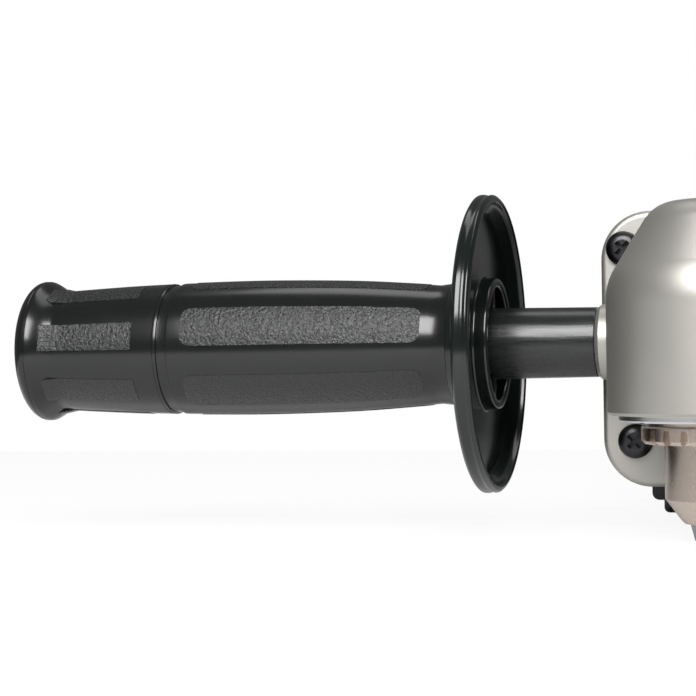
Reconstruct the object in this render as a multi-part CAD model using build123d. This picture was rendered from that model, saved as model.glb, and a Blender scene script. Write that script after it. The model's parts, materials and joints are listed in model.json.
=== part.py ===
from build123d import *
import os
from math import atan2, cos, hypot, pi, radians, sin, tan

# Right-angle drill with a keyed chuck and a screw-in side handle.
# Millimetres. The origin is the centre of the chuck's nose face. +Z runs up the spindle,
# the motor barrel runs along +Y and the side handle along -X.

# Main axes
MOTOR_Z = 44.4
HANDLE_Y = 15.0
HANDLE_Z = 46.4

# Fits
RUN = 0.05
GAP = 0.3
SIDES = (-1, 1)

# Gear train
SPUR_MODULE = 0.7
ARMATURE_TEETH = 8
SPUR_TEETH = 33
BEVEL_MODULE = 1.3
PINION_TEETH = 12
GEAR_TEETH = 31
BEVEL_FACE = 6.5
SHAFT_OFFSET = SPUR_MODULE * (ARMATURE_TEETH + SPUR_TEETH) / 2
LAYSHAFT_Z = MOTOR_Z + SHAFT_OFFSET
PINION_PITCH_R = BEVEL_MODULE * PINION_TEETH / 2
GEAR_PITCH_R = BEVEL_MODULE * GEAR_TEETH / 2

# Chuck, from the nose face upwards
NOSE_R = 11.4
CONE_TOP = 5.4
CHUCK_R = 15.4
CHUCK_BACK = 34.0
RING_R = 21.2
RING_BOTTOM = 20.3
RING_TOP = 24.9
RING_TEETH = 24
SLEEVE_R = 20.0
SLEEVE_BORE_R = 18.2
SLEEVE_LIP = 2.0
NUT_BOTTOM = 21.2
NUT_TOP = 26.0
MOUTH_R = 5.6
MOUTH_DEPTH = 19.0
KEY_HOLE_R = 3.2
KEY_HOLE_DEPTH = 6.0
KEY_HOLE_Z = 15.6
JAW_R = 3.8
JAW_TILT = 15.0
JAW_LENGTH = 27.0
JAW_TIP_Z = -4.4
JAW_TIP_AXIS_R = 4.2
JAW_GRIP_R = 2.6
JAW_CLOSING = 1.7
JAW_PITCH = 1.4
JAW_ANGLES = (80, 200, 320)
KEY_HOLE_ANGLES = (20, 140, 260)
SPINDLE_THREAD_R = 4.76

# Head casting
DOME_R = 29.7
DOME_BOTTOM = 27.7
DOME_TOP = 82.3
CHAMBER_R = 25.0
FLANGE_WIDTH = 69.6
FLANGE_HEIGHT = 74.0
FLANGE_CORNER_R = 13.0
FLANGE_FRONT = 24.0
FLANGE_BACK = 32.0
SPIGOT_R = 29.9
SPIGOT_BORE_R = 27.0
SPIGOT_END = 40.0
BOSS_R = 10.0
BOSS_FACE_X = 34.0
STUD_R = 4.0
STUD_THREAD_LENGTH = 11.0
UPPER_SCREW = (28.5, 71.4)
LOWER_SCREW = (26.0, 19.8)
SCREW_R = 2.5
SCREW_HEAD_R = 4.65
SCREW_HEAD_H = 3.2

# Spindle bearing box
BOX_RIM_BOTTOM = 26.0
BOX_RIM_R = 26.8
BOX_BORE_R = 20.7
BOX_TOP = 46.0
BOX_SPIGOT_R = 21.9
BOX_SCREW_R = 24.1
BEARING_Z = 36.4

# Bearings: bore radius, outer radius, width
SPINDLE_BEARING = (6.0, 14.0, 8.0)
LAYSHAFT_BEARING = (4.0, 11.0, 7.0)
FRONT_BEARING = (4.0, 11.0, 7.0)
REAR_BEARING = (3.5, 9.5, 6.0)
LAYSHAFT_BEARING_Y = 24.5

# Motor, positions along Y
PLATE_Y = 40.0
FRONT_BEARING_Y = 46.0
FAN_Y = 56.0
CORE_Y = 72.0
CORE_LENGTH = 38.0
CORE_R = 18.0
COMMUTATOR_Y = 119.0
COMMUTATOR_LENGTH = 14.0
COMMUTATOR_R = 12.0
REAR_BEARING_Y = 137.0
STATOR_R = 29.6
BRUSH_Y = 126.0

# Motor housing and rear handle
BARREL_R = 33.3
BARREL_BORE_R = 30.3
BARREL_END = 150.0
HOOD_HALF = 24.7
HOOD_BOTTOM = 2.4
HOOD_FRONT = 46.0
HOOD_INNER_HALF = 22.5
HANDLE_HEIGHT = 72.0
HANDLE_END = 228.0
WALL = 2.8

# Paddle lever
LEVER_HALF = 22.2
LEVER_BOTTOM = -1.6
LEVER_FRONT = 50.0
LEVER_END = 204.0
LEVER_PIVOT_Y = 56.0
LEVER_PIVOT_Z = 6.4
PIVOT_R = 2.0

# Switch, reversing slide, lock button
SWITCH_Y = 177.0
SWITCH_SIZE = (22.0, 34.0, 24.0)
SWITCH_BOTTOM = 27.0
PLUNGER_R = 3.0
PLUNGER_BOTTOM = 12.0
LOCK_Y = 196.0
LOCK_Z = 26.0
REVERSE_Y = 182.0
INLET_Z = 40.0
INLET_BORE_R = 3.8

# Side handle, distances out from its boss face
HUB_FACE = 26.9
WEB_FACE = 30.9
GUARD_BACK = 33.6
RIM_BACK = 31.9
GUARD_R = 40.0
CAVITY_FLOOR = 34.0
HUB_R = 17.6
HUB_CAVITY_R = 15.1
POLE_TIP_R = 9.25
POLE_BASE_R = 9.6
FLARE_START = 42.5
GROOVE = 117.3
NECK = 151.5
BULB = 157.4
GRIP_END = 161.6


def lathe(*edges):
    """Solid turned about Z from an outline of edges in (radius, height)."""
    return revolve(Plane.XZ * make_face(Curve() + list(edges)), Axis.Z)


def turned(*points):
    """Solid turned about Z from straight runs between (radius, height) points."""
    return lathe(Polyline(*points, close=True))


def tube(outer, inner, length, start=0.0):
    """Plain ring or, with an inner radius of 0, a rod along Z."""
    ring = Circle(outer)
    if inner:
        ring -= Circle(inner)
    return extrude(Pos(0, 0, start) * ring, length)


def along_y(part, x=0.0, z=MOTOR_Z, y=0.0):
    """Lay a part made along +Z down along +Y."""
    return Pos(x, y, z) * Rot(-90, 0, 0) * part


def along_x(part, x=0.0, y=0.0, z=0.0):
    """Lay a part made along +Z down along -X."""
    return Pos(x, y, z) * Rot(0, -90, 0) * part


def block(x0, x1, y0, y1, z0, z1):
    """Box between two corners."""
    size = (x1 - x0, y1 - y0, z1 - z0)
    centre = ((x0 + x1) / 2, (y0 + y1) / 2, (z0 + z1) / 2)
    return Pos(*centre) * Box(*size)


def slab(width, height, corner, y0, y1, z=MOTOR_Z):
    """Rounded rectangle in the XZ plane, extruded from y0 to y1."""
    return along_y(extrude(RectangleRounded(width, height, corner), y1 - y0), z=z, y=y0)


def ring_of(part, count, first=0.0):
    """Copies of a part turned evenly about Z."""
    return [Rot(0, 0, first + 360 * i / count) * part for i in range(count)]


def joined(parts):
    """One shape from several, fused together."""
    result = parts[0]
    for part in parts[1:]:
        result += part
    return result


def bearing_rings(bore, outer, width):
    """Outer ring, inner ring and balls of a ball bearing standing on Z = 0."""
    pitch = (bore + outer) / 2
    ball = (outer - bore) * 0.28
    land = (outer - bore) * 0.19
    groove = Pos(0, 0, width / 2) * Torus(pitch, ball + RUN)
    outside = tube(outer, pitch + land, width) - groove
    inside = tube(pitch - land, bore, width) - groove
    count = int(2 * pi * pitch / (2.6 * ball))
    balls = ring_of(Pos(pitch, 0, width / 2) * Sphere(ball), count)
    return outside, inside, balls


# ---------------------------------------------------------------- gears

def spur_gear(module, teeth, width, bore, first=0.0):
    """Straight spur gear along Z with narrow teeth that leave running backlash."""
    pitch_r = module * teeth / 2
    step = 2 * pi / teeth
    outline = []
    for i in range(teeth):
        middle = radians(first) + i * step
        for radius, share in ((-1.2, -0.29), (0.85, -0.11), (0.85, 0.11), (-1.2, 0.29)):
            angle = middle + share * step
            r = pitch_r + radius * module
            outline.append((r * cos(angle), r * sin(angle)))
    blank = make_face(Polyline(*outline, close=True))
    if bore:
        blank -= Circle(bore)
    return extrude(blank, width)


def bevel_gear(teeth, mate, bore, hub_r, hub_bottom, first=0.0):
    """Straight bevel gear: cone apex at the origin, body below it along -Z."""
    angle = atan2(teeth, mate)
    cone = BEVEL_MODULE * hypot(teeth, mate) / 2
    small = (cone - BEVEL_FACE) / cone
    out = Vector(sin(angle), 0, -cos(angle))
    up = Vector(cos(angle), 0, sin(angle))
    side = Vector(0, 1, 0)
    pitch = BEVEL_MODULE * pi

    def section(scale):
        corners = []
        for depth, half in ((-1.45, -0.27), (0.8, -0.10), (0.8, 0.10), (-1.45, 0.27)):
            place = out * cone + up * (depth * BEVEL_MODULE) + side * (half * pitch)
            corners.append(place * scale)
        return Face(Wire.make_polygon(corners, close=True))

    tooth = loft([section(1.0), section(small)], ruled=True)
    root_big = out * cone - up * (1.3 * BEVEL_MODULE)
    root_small = root_big * small
    blank = turned(
        (bore, root_small.Z),
        (root_small.X, root_small.Z),
        (root_big.X, root_big.Z),
        (root_big.X, root_big.Z - 2.0),
        (hub_r, hub_bottom + 1.5),
        (hub_r, hub_bottom),
        (bore, hub_bottom),
    )
    return joined([blank] + ring_of(tooth, teeth, first))


def bevel_wheel():
    """Large bevel gear on the spindle, its teeth facing up to the pinion."""
    apex = LAYSHAFT_Z
    bottom = BEARING_Z + SPINDLE_BEARING[2] - apex
    gear = bevel_gear(GEAR_TEETH, PINION_TEETH, 6.5, 9.0, bottom, 90 + 180 / GEAR_TEETH)
    return Pos(0, 0, apex) * gear


def pinion_shaft():
    """Layshaft: bevel pinion, bearing seat and spur gear seat in one piece."""
    pinion = bevel_gear(PINION_TEETH, GEAR_TEETH, 0.0, 6.0, -LAYSHAFT_BEARING_Y, -90)
    pinion = Pos(0, 0, LAYSHAFT_Z) * Rot(90, 0, 0) * pinion
    seat = tube(LAYSHAFT_BEARING[0], 0, 38.6 - LAYSHAFT_BEARING_Y)
    tail = tube(3.0, 0, 45.0 - 38.6)
    shaft = along_y(seat, z=LAYSHAFT_Z, y=LAYSHAFT_BEARING_Y)
    shaft += along_y(tail, z=LAYSHAFT_Z, y=38.6)
    return pinion + shaft


def spur_wheel():
    """Spur gear pressed on the layshaft, driven by the armature's own pinion."""
    gear = spur_gear(SPUR_MODULE, SPUR_TEETH, 6.0, LAYSHAFT_BEARING[0], 90 + 180 / SPUR_TEETH)
    return along_y(gear, z=LAYSHAFT_Z, y=32.2)


# ---------------------------------------------------------------- chuck

def jaw_axis_r(z):
    """Radius of a jaw's own axis at height z."""
    return JAW_TIP_AXIS_R + (z - JAW_TIP_Z) * tan(radians(JAW_TILT))


def jaw_rod(radius, below, length):
    """Rod along a jaw's axis at azimuth 0, starting below the tip by some length."""
    rod = tube(radius, 0, length, -below)
    return Pos(JAW_TIP_AXIS_R, 0, JAW_TIP_Z) * Rot(0, JAW_TILT, 0) * rod


def chuck_jaw(angle):
    """Jaw: an inclined rod with two wedge flats, a grip face and thread grooves."""
    rod = jaw_rod(JAW_R, 2.0, JAW_LENGTH)
    rod -= block(-30, 30, -30, 30, JAW_TIP_Z - 20, JAW_TIP_Z)
    apex = JAW_CLOSING + 0.1
    reach = 40.0
    rise = reach * tan(radians(60))
    wedge = make_face(Polyline((apex, 0), (apex + reach, rise), (apex + reach, -rise), close=True))
    rod &= Pos(0, 0, -20) * extrude(wedge, 80)
    rod -= tube(JAW_GRIP_R, 0, 90, -30)
    groove = tube(JAW_R + 1, JAW_R - 0.45, 0.7) & block(0, 6, -6, 6, -1, 2)
    axis = Pos(JAW_TIP_AXIS_R, 0, JAW_TIP_Z) * Rot(0, JAW_TILT, 0)
    for i in range(7):
        rod -= axis * Pos(0, 0, 14.5 + JAW_PITCH * i) * groove
    return Rot(0, 0, angle) * rod


def chuck_body():
    """Body: cone nose, three jaw holes, three key holes, back thread and nut groove."""
    body = turned(
        (0, 0), (NOSE_R - 0.8, 0), (NOSE_R, 0.8), (CHUCK_R - 0.6, CONE_TOP),
        (CHUCK_R, CONE_TOP + 0.8), (CHUCK_R, NUT_BOTTOM - 0.1), (14.9, NUT_BOTTOM - 0.1),
        (14.9, NUT_TOP + GAP), (CHUCK_R, NUT_TOP + GAP), (CHUCK_R, CHUCK_BACK), (0, CHUCK_BACK),
    )
    body -= tube(MOUTH_R, 0, MOUTH_DEPTH + 1, -1)
    body -= tube(SPINDLE_THREAD_R, 0, CHUCK_BACK, MOUTH_DEPTH - 1)
    hole = jaw_rod(JAW_R + RUN, 8.0, 47.0)
    for angle in JAW_ANGLES:
        body -= Rot(0, 0, angle) * hole
    key_hole = along_x(tube(KEY_HOLE_R, 0, KEY_HOLE_DEPTH + 1), CHUCK_R + 1, 0, KEY_HOLE_Z)
    for angle in KEY_HOLE_ANGLES:
        body -= Rot(0, 0, angle) * key_hole
    return body


def chuck_sleeve():
    """Sleeve with the ring of key teeth on its nose-facing edge."""
    sleeve = turned(
        (SLEEVE_BORE_R, RING_BOTTOM), (RING_R - 0.9, RING_BOTTOM), (RING_R, RING_BOTTOM + 0.9),
        (RING_R, RING_TOP - 0.4), (RING_R - 0.4, RING_TOP), (SLEEVE_R, RING_TOP),
        (SLEEVE_R, CHUCK_BACK - 0.5), (SLEEVE_R - 0.5, CHUCK_BACK), (CHUCK_R + RUN, CHUCK_BACK),
        (CHUCK_R + RUN, CHUCK_BACK - SLEEVE_LIP), (SLEEVE_BORE_R, CHUCK_BACK - SLEEVE_LIP),
    )
    mouth = 1.35
    root = 0.95
    depth = 4.2
    notch = Polyline((-mouth, -1), (mouth, -1), (mouth, 0), (root, depth), (-root, depth),
                     (-mouth, 0), close=True)
    cutter = extrude(Plane.YZ * make_face(notch), 8)
    cutter = Pos(SLEEVE_BORE_R + 0.6, 0, RING_BOTTOM) * Rot(0, 14, 0) * cutter
    for piece in ring_of(cutter, RING_TEETH, 360 / RING_TEETH / 2):
        sleeve -= piece
    return sleeve


def chuck_nut():
    """Split nut inside the sleeve, two halves with a cone that clears the jaws."""
    clear = JAW_R / cos(radians(JAW_TILT)) + RUN
    ring = turned(
        (jaw_axis_r(NUT_BOTTOM) + clear, NUT_BOTTOM), (SLEEVE_BORE_R, NUT_BOTTOM),
        (SLEEVE_BORE_R, NUT_TOP), (jaw_axis_r(NUT_TOP) + clear, NUT_TOP),
    )
    slot = 0.3
    right = ring & block(slot, 40, -40, 40, 0, 60)
    left = ring & block(-40, -slot, -40, 40, 0, 60)
    return [right, left]


def chuck_screw():
    """Left-hand screw through the chuck's mouth into the spindle."""
    screw = turned((0, 15.4), (4.2, 15.4), (4.2, 18.0), (2.5, 18.0), (2.5, 30.0), (0, 30.0))
    for turn in (0, 90):
        screw -= Rot(0, 0, turn) * block(-2.4, 2.4, -0.5, 0.5, 15.0, 17.0)
    return screw


# ---------------------------------------------------------------- spindle and head

def spindle():
    """Spindle: chuck thread, shoulder, bearing seat, gear seat and top journal."""
    shaft = turned(
        (2.5, 18.0), (SPINDLE_THREAD_R - 0.8, 18.0), (SPINDLE_THREAD_R, 18.8),
        (SPINDLE_THREAD_R, CHUCK_BACK), (8.6, CHUCK_BACK), (8.6, BEARING_Z),
        (SPINDLE_BEARING[0], BEARING_Z), (SPINDLE_BEARING[0], BEARING_Z + 8.0),
        (6.5, BEARING_Z + 8.0), (6.5, 57.0), (5.0, 58.0), (5.0, 77.4), (4.2, 78.2),
        (0, 78.2), (0, 31.0), (2.5, 31.0),
    )
    flats = block(-9, 9, 7.4, 9, CHUCK_BACK, BEARING_Z)
    flats += block(-9, 9, -9, -7.4, CHUCK_BACK, BEARING_Z)
    return shaft - flats


def top_bush():
    """Drawn-cup bush in the dome that guides the spindle's top journal."""
    return tube(7.0, 5.0 + RUN, 9.0, 69.4)


def bearing_box():
    """Bearing box: a rim under the dome, a bore round the chuck sleeve, a bearing pocket."""
    pocket_r = SPINDLE_BEARING[1]
    box = turned(
        (BOX_BORE_R, BOX_RIM_BOTTOM), (BOX_RIM_R - 0.5, BOX_RIM_BOTTOM),
        (BOX_RIM_R, BOX_RIM_BOTTOM + 0.5), (BOX_RIM_R, DOME_BOTTOM), (BOX_SPIGOT_R, DOME_BOTTOM),
        (BOX_SPIGOT_R, BOX_TOP), (pocket_r, BOX_TOP), (pocket_r, BEARING_Z + 9.3),
        (pocket_r + 0.9, BEARING_Z + 9.3), (pocket_r + 0.9, BEARING_Z + 8.1),
        (pocket_r, BEARING_Z + 8.1), (pocket_r, BEARING_Z), (pocket_r - 2.4, BEARING_Z),
        (pocket_r - 2.4, CHUCK_BACK + 0.6), (BOX_BORE_R, CHUCK_BACK + 0.6),
    )
    for hole in ring_of(Pos(BOX_SCREW_R, 0, 0) * tube(1.5, 0, 14, 25), 4, 45):
        box -= hole
    head = Pos(BOX_SCREW_R, 0, 0) * turned((0, 25), (2.4, 25), (2.4, 26.3), (1.5, 27.2), (0, 27.2))
    for cut in ring_of(head, 4, 45):
        box -= cut
    return box


def box_screws():
    """Four countersunk screws that hold the bearing box."""
    screw = turned((0, 26.1), (2.4, 26.1), (2.4, 26.3), (1.5, 27.2), (1.5, 38.0), (0, 38.0))
    screw -= block(-1.4, 1.4, -0.35, 0.35, 25, 27.2)
    screw -= block(-0.35, 0.35, -1.4, 1.4, 25, 27.2)
    return ring_of(Pos(BOX_SCREW_R, 0, 0) * screw, 4, 45)


def snap_ring():
    """Internal snap ring above the spindle bearing."""
    ring = tube(SPINDLE_BEARING[1] + 0.8, 12.3, 1.0, BEARING_Z + 8.2)
    return ring - block(-3, 3, 8, 20, 40, 50)


def dome_solid():
    """Outer form of the dome: a drum, a sloping shoulder and a flat crown."""
    drum_top = HANDLE_Z + 9.0
    shoulder = (26.6, HANDLE_Z + 19.8)
    crown = (19.6, HANDLE_Z + 31.0)
    flat = (11.0, DOME_TOP - 0.4)
    return lathe(
        Polyline((0, DOME_BOTTOM), (DOME_R - 0.8, DOME_BOTTOM), (DOME_R, DOME_BOTTOM + 0.8),
                 (DOME_R, drum_top)),
        ThreePointArc((DOME_R, drum_top), (29.1, HANDLE_Z + 14.6), shoulder),
        Line(shoulder, crown),
        ThreePointArc(crown, (16.2, HANDLE_Z + 34.2), flat),
        Polyline(flat, (0, DOME_TOP), (0, DOME_BOTTOM)),
    )


def neck_solid():
    """Body between the dome and the flange, arched above and square below."""
    half = DOME_R - 0.6
    low = DOME_BOTTOM + 2.0
    high = DOME_TOP - 3.6
    arch = 23.0
    outline = Rectangle(2 * half, high - low)
    outline = fillet(outline.vertices().group_by(Axis.Y)[-1], arch)
    outline = fillet(outline.vertices().group_by(Axis.Y)[0], 7.0)
    body = extrude(outline, FLANGE_FRONT)
    return Pos(0, 0, (low + high) / 2) * Rot(90, 0, 0) * Pos(0, 0, -FLANGE_FRONT) * body


def gear_housing():
    """Die-cast head: dome, neck, square flange, spigot and two side-handle bosses."""
    flange = slab(FLANGE_WIDTH, FLANGE_HEIGHT, FLANGE_CORNER_R, FLANGE_FRONT, FLANGE_BACK)
    front_edges = flange.edges().filter_by_position(Axis.Y, FLANGE_FRONT - 0.1, FLANGE_FRONT + 0.1)
    flange = fillet(front_edges, 1.6)
    house = dome_solid() + neck_solid() + flange
    house += along_y(tube(SPIGOT_R, 0, SPIGOT_END - FLANGE_BACK), y=FLANGE_BACK)
    for side in SIDES:
        boss = lathe(Polyline((0, 0), (BOSS_R + 0.5, 0), (BOSS_R, 12.0), (BOSS_R - 0.8, 13.0),
                              (0, 13.0), close=True))
        house += Pos(side * (BOSS_FACE_X - 13.0), HANDLE_Y, HANDLE_Z) * Rot(0, side * 90, 0) * boss
    chamber = turned((0, DOME_BOTTOM - 1), (BOX_SPIGOT_R, DOME_BOTTOM - 1),
                     (BOX_SPIGOT_R, BOX_TOP), (CHAMBER_R, BOX_TOP + 2.0), (CHAMBER_R, 58.0),
                     (22.0, 65.0), (11.0, 74.0), (9.2, 74.0), (9.2, 68.6), (7.0, 68.6),
                     (7.0, 79.2), (0, 79.2))
    chamber += along_y(tube(9.6, 0, 30), z=LAYSHAFT_Z)
    house -= chamber
    house -= along_y(tube(LAYSHAFT_BEARING[1], 0, 30), z=LAYSHAFT_Z, y=LAYSHAFT_BEARING_Y)
    well = along_y(tube(SPIGOT_BORE_R, 0, 20), y=28.0)
    well -= along_y(tube(13.4, 0, 3.5), z=LAYSHAFT_Z, y=28.0)
    well += along_y(tube(LAYSHAFT_BEARING[1], 0, 3.5), z=LAYSHAFT_Z, y=28.0)
    house -= well
    for side in SIDES:
        drill_hole = tube(STUD_R, 0, STUD_THREAD_LENGTH + 1)
        place = Pos(side * (BOSS_FACE_X - STUD_THREAD_LENGTH), HANDLE_Y, HANDLE_Z)
        house -= place * Rot(0, side * 90, 0) * drill_hole
    for x, z in screw_places():
        house -= along_y(tube(SCREW_R + 0.2, 0, 12), x, z, 22.0)
        house -= along_y(tube(SCREW_HEAD_R + 0.35, 0, 6), x, z, FLANGE_FRONT - 6.0)
    for hole in ring_of(Pos(BOX_SCREW_R, 0, 0) * tube(1.5, 0, 11.4, DOME_BOTTOM - 1), 4, 45):
        house -= hole
    return house - tube(BOX_RIM_R + GAP, 0, 9.0, DOME_BOTTOM - 9.0)


def screw_places():
    """Centres of the four flange screws as (x, z)."""
    return [(side * x, z) for side in SIDES for x, z in (LOWER_SCREW, UPPER_SCREW)]


def flange_screws():
    """Four pan-head cross-recess screws through the flange into the motor housing."""
    head = lathe(
        Line((0, 0), (SCREW_HEAD_R, 0)),
        Line((SCREW_HEAD_R, 0), (SCREW_HEAD_R, -1.3)),
        ThreePointArc((SCREW_HEAD_R, -1.3), (3.6, -2.7), (1.6, -SCREW_HEAD_H)),
        Line((1.6, -SCREW_HEAD_H), (0, -SCREW_HEAD_H)),
        Line((0, -SCREW_HEAD_H), (0, 0)),
    )
    shank = tube(SCREW_R, 0, 19.6)
    screw = head + shank
    for turn in (0, 90):
        screw -= Rot(0, 0, 45 + turn) * block(-2.3, 2.3, -0.55, 0.55, -4, -1.2)
    return [along_y(screw, x, z, FLANGE_FRONT) for x, z in screw_places()]


# ---------------------------------------------------------------- motor

def bearing_plate():
    """Aluminium plate behind the spur gear: layshaft bush seat and front bearing pocket."""
    plate = along_y(tube(SPIGOT_R, 0, 5.6), y=PLATE_Y)
    plate += along_y(tube(13.5, 0, 13.0), y=PLATE_Y)
    plate += along_y(tube(7.2, 0, 5.6), z=LAYSHAFT_Z, y=PLATE_Y)
    plate -= along_y(tube(FRONT_BEARING[1], 0, 10), y=FRONT_BEARING_Y)
    plate -= along_y(tube(5.2, 0, 20), y=PLATE_Y - 5)
    plate -= along_y(tube(4.6, 0, 20), z=LAYSHAFT_Z, y=PLATE_Y - 2)
    return plate


def layshaft_bush():
    """Sintered bush for the layshaft's tail."""
    return along_y(tube(4.6, 3.0 + RUN, 5.4), z=LAYSHAFT_Z, y=PLATE_Y + 0.1)


def armature_shaft():
    """Motor shaft with its eight-tooth pinion cut on the front end."""
    pinion = spur_gear(SPUR_MODULE, ARMATURE_TEETH, 8.7, 0, 90)
    shaft = along_y(pinion, y=31.7)
    shaft += along_y(tube(4.0, 0, 15.0), y=40.4)
    shaft += along_y(tube(4.6, 0, 81.0), y=55.4)
    shaft += along_y(tube(3.5, 0, 7.0), y=136.4)
    return shaft


def armature_core():
    """Lamination stack with twelve winding slots."""
    core = tube(CORE_R, 4.6, CORE_LENGTH)
    slot = block(9.0, 20.0, -1.0, 1.0, -1, CORE_LENGTH + 1)
    slot += Pos(11.4, 0, -1) * extrude(Circle(2.1), CORE_LENGTH + 2)
    for cut in ring_of(slot, 12):
        core -= cut
    return along_y(core, y=CORE_Y)


def armature_windings():
    """Enamelled copper: twelve slot bundles and two domed end turns."""
    end = lathe(
        Line((5.2, 0), (16.4, 0)),
        ThreePointArc((16.4, 0), (15.2, 4.4), (11.0, 6.4)),
        Line((11.0, 6.4), (5.2, 6.4)),
        Line((5.2, 6.4), (5.2, 0)),
    )
    bundle = Pos(11.4, 0, 0) * tube(1.9, 0, CORE_LENGTH)
    coil = joined([Pos(0, 0, CORE_LENGTH) * end, Rot(180, 0, 0) * end] + ring_of(bundle, 12))
    return along_y(coil, y=CORE_Y)


def commutator():
    """Copper commutator with risers and undercut bars."""
    ring = turned((4.6, 0), (COMMUTATOR_R + 1.2, 0), (COMMUTATOR_R + 1.2, 2.2),
                  (COMMUTATOR_R, 2.2), (COMMUTATOR_R, COMMUTATOR_LENGTH), (4.6, COMMUTATOR_LENGTH))
    cut = block(COMMUTATOR_R - 0.8, COMMUTATOR_R + 3, -0.25, 0.25, -1, COMMUTATOR_LENGTH + 1)
    for piece in ring_of(cut, 24):
        ring -= piece
    return along_y(ring, y=COMMUTATOR_Y)


def cooling_fan():
    """Radial fan: hub, back disc and eleven straight blades."""
    hub = tube(8.0, 4.6, 9.0)
    disc = tube(25.4, 4.6, 1.6, 7.4)
    blade = block(7.5, 25.0, -0.7, 0.7, 0.4, 8.0)
    return along_y(joined([hub, disc] + ring_of(blade, 11)), y=FAN_Y)


def rear_bearing_sleeve():
    """Rubber ring that seats the rear bearing in the housing."""
    return along_y(tube(REAR_BEARING[1] + 2.3, REAR_BEARING[1], REAR_BEARING[2]), y=REAR_BEARING_Y)


def stator_core():
    """Field lamination stack with two poles and winding windows."""
    stack = tube(STATOR_R, CORE_R + 0.6, CORE_LENGTH)
    window = tube(25.4, CORE_R + 0.5, CORE_LENGTH + 2, -1)
    window &= block(-16, 16, -40, 40, -2, CORE_LENGTH + 2)
    stack -= window
    stack &= block(-40, 40, -28.2, 28.2, -1, CORE_LENGTH + 1)
    return along_y(stack, y=CORE_Y)


def field_coils():
    """Two field windings, each looping past both ends of the stator stack."""
    coils = []
    bundle = tube(24.8, 19.4, CORE_LENGTH + 11, -5.5)
    hollow = tube(24.9, 19.3, CORE_LENGTH)
    hollow &= block(-30, -15.2, -40, 40, -1, 60) + block(15.2, 30, -40, 40, -1, 60)
    for side in SIDES:
        keep = block(min(side * 0.5, side * 40), max(side * 0.5, side * 40), -40, 40, -10, 60)
        coils.append(along_y((bundle & keep) - hollow, y=CORE_Y))
    return coils


def fan_baffle():
    """Air guide ring between the fan and the field windings."""
    return along_y(tube(BARREL_BORE_R - 0.2, 16.0, 1.0), y=65.3)


def brush_holders():
    """Brass brush boxes on both sides of the commutator."""
    parts = []
    for side in SIDES:
        box = Pos(0, 0, 21.0) * Box(8.6, 10.6, 15.0)
        box -= Pos(0, 0, 21.0) * Box(6.6, 8.6, 20.0)
        parts.append(Pos(0, BRUSH_Y, MOTOR_Z) * Rot(0, side * 90, 0) * box)
    return parts


def carbon_brushes():
    """Carbon brushes resting on the commutator."""
    parts = []
    for side in SIDES:
        brush = Pos(0, 0, 17.0) * Box(6.4, 8.4, 9.6)
        brush -= Rot(90, 0, 90) * Pos(0, 0, -10) * extrude(Circle(COMMUTATOR_R + 0.1), 20)
        parts.append(Pos(0, BRUSH_Y, MOTOR_Z) * Rot(0, side * 90, 0) * brush)
    return parts


def brush_springs():
    """Compression springs behind the brushes, drawn as close ring stacks."""
    parts = []
    for side in SIDES:
        for i in range(5):
            turn = Torus(2.4, 0.35)
            place = Pos(0, BRUSH_Y, MOTOR_Z) * Rot(0, side * 90, 0) * Pos(0, 0, 22.4 + 1.2 * i)
            parts.append(place * turn)
    return parts


def brush_caps():
    """Slotted screw caps over the brush holders."""
    parts = []
    for side in SIDES:
        cap = tube(6.4, 0, 4.6, 29.2) + tube(7.4, 0, 1.2, 33.4)
        cap -= block(-5.6, 5.6, -0.7, 0.7, 33.6, 36)
        parts.append(Pos(0, BRUSH_Y, MOTOR_Z) * Rot(0, side * 90, 0) * cap)
    return parts


# ---------------------------------------------------------------- housings

def hood_solid(half, bottom, y0, y1, corner):
    """Box below the barrel with rounded lower edges."""
    hood = block(-half, half, y0, y1, bottom, MOTOR_Z - 14)
    edges = hood.edges().filter_by(Axis.Y).group_by(Axis.Z)[0]
    return fillet(edges, corner)


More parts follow.
